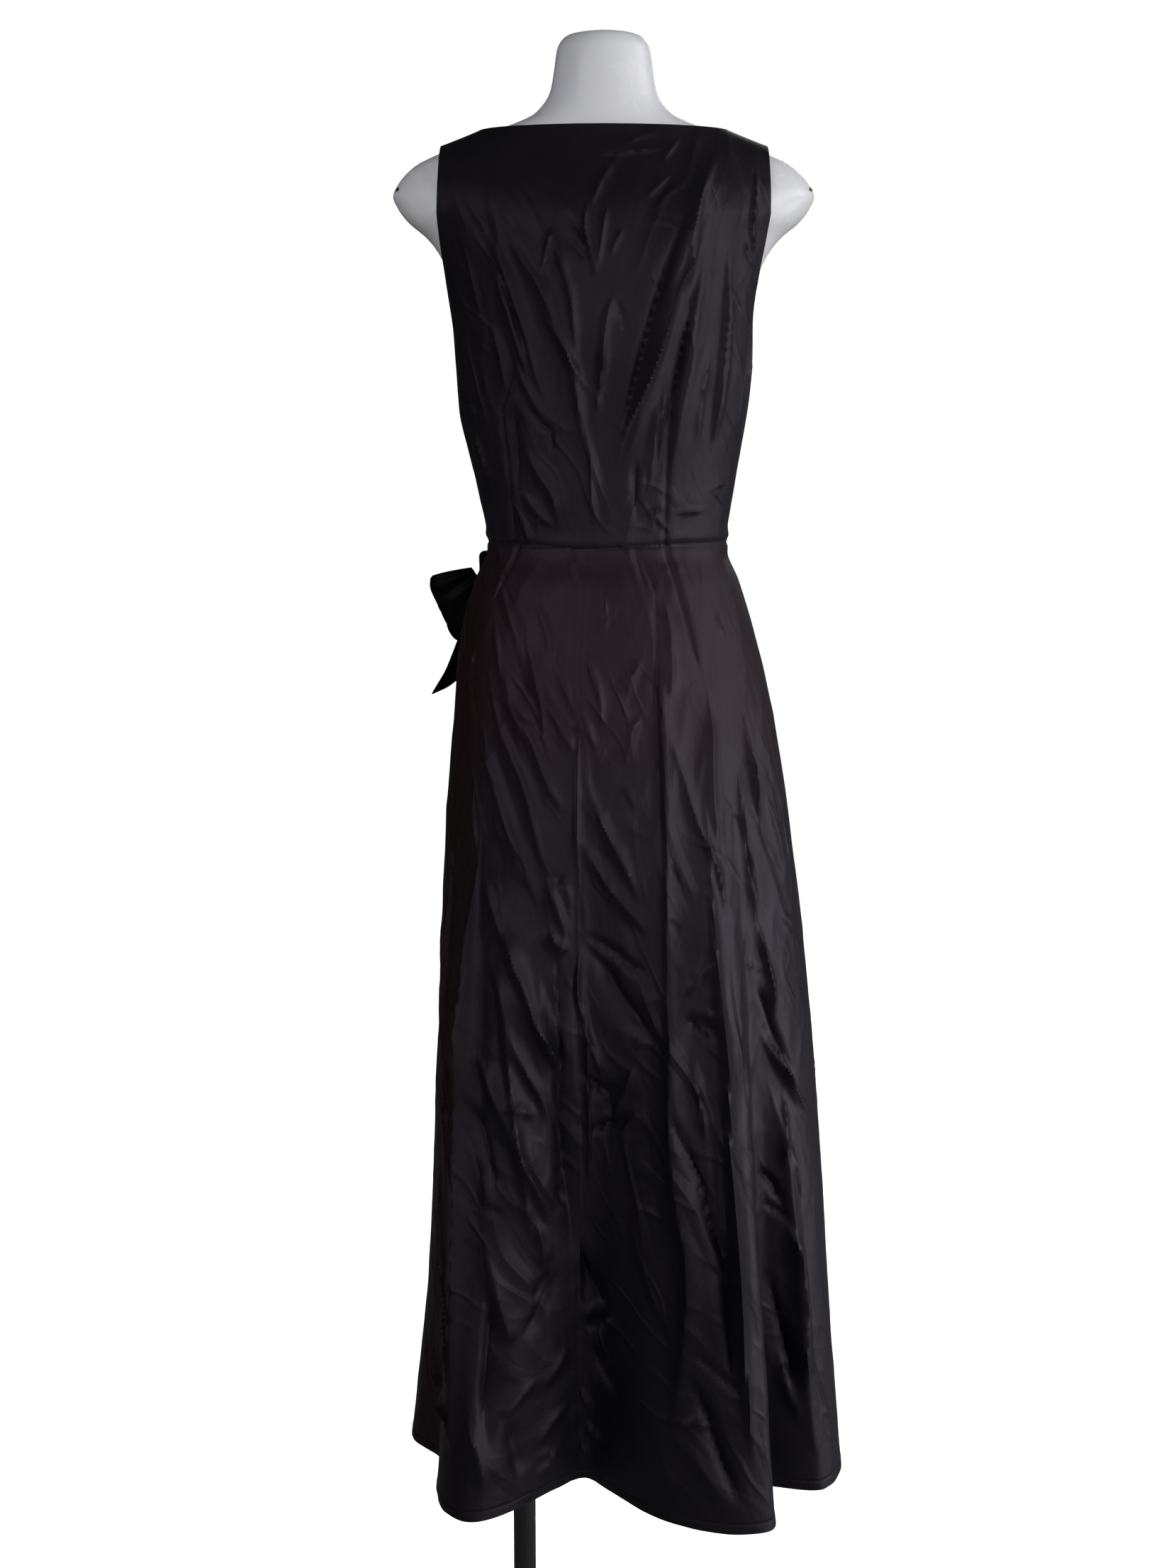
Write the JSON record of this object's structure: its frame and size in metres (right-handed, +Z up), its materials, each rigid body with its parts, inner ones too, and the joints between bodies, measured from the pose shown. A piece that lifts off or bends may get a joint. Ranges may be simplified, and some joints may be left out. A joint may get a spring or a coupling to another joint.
{
  "type": "sleeveless maxi dress on a dress form",
  "caption": "Sleeveless satin maxi dress with fitted bodice, fluted A-line skirt and side bow, on a limbless dress form with pole stand.",
  "frame": {"origin": "centre of the base plate's underside, under the dress form's axis", "axes": "+Z up; the dress's front faces -Y and its back +Y; the wearer's left, with the bow, is +X"},
  "size_m": [0.4683, 0.5016, 1.78],
  "materials": {
    "satin": "black satin with a soft sheen",
    "form_shell": "white moulded shell, satin gloss",
    "stand_paint": "dark painted steel"
  },
  "bodies": {
    "root": {"bodice_back": "satin", "bodice_front": "satin", "skirt_back_left": "satin", "skirt_back_right": "satin", "skirt_front": "satin", "bow_knot": "satin", "bow_loop_back": "satin", "bow_loop_front": "satin", "bow_tail_back": "satin", "bow_tail_front": "satin", "form_torso": "form_shell", "pole": "stand_paint", "pole_collar": "stand_paint", "base_plate": "stand_paint"}
  },
  "joints": []
}
